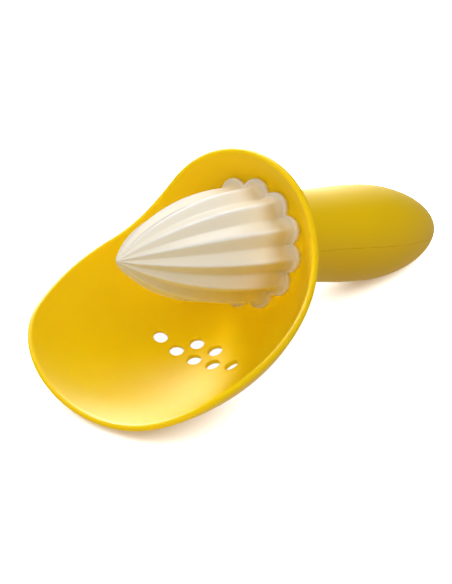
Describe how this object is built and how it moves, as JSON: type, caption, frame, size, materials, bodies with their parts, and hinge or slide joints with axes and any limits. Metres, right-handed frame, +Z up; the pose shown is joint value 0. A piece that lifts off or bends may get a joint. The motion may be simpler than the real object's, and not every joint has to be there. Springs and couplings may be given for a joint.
{
  "type": "hand citrus reamer with pip-catching scoop",
  "caption": "Hand citrus reamer: a ribbed white cone with a petal flange stands in an open yellow scoop with drain holes, on a rounded hollow grip; the cone pulls off for washing.",
  "frame": {"origin": "on the table under the middle of the whole tool's box, as the tool lies on it", "axes": "+X from the head's tip to the grip's tail, +Z up from the table, Y across the tool, which is its own mirror image in Y"},
  "size_m": [0.1788, 0.0864, 0.0683],
  "materials": {
    "head_plastic": "satin moulded, cream white",
    "bowl_plastic": "satin moulded, warm yellow",
    "grip_plastic": "soft matte moulded, warm yellow",
    "core_plastic": "plain moulded, off white",
    "seal_rubber": "matte black rubber"
  },
  "bodies": {
    "grip": {"catcher_bowl": "bowl_plastic", "handle_upper_shell": "grip_plastic", "handle_lower_shell": "grip_plastic", "handle_core": "core_plastic"},
    "head": {"reamer_head": "head_plastic", "shank_seal": "seal_rubber"}
  },
  "joints": [
    {"name": "head_pull", "type": "slide", "parent": "grip", "child": "head", "axis": [-0.9689, 0, 0.2476], "range_m": [0, 0.105]}
  ]
}
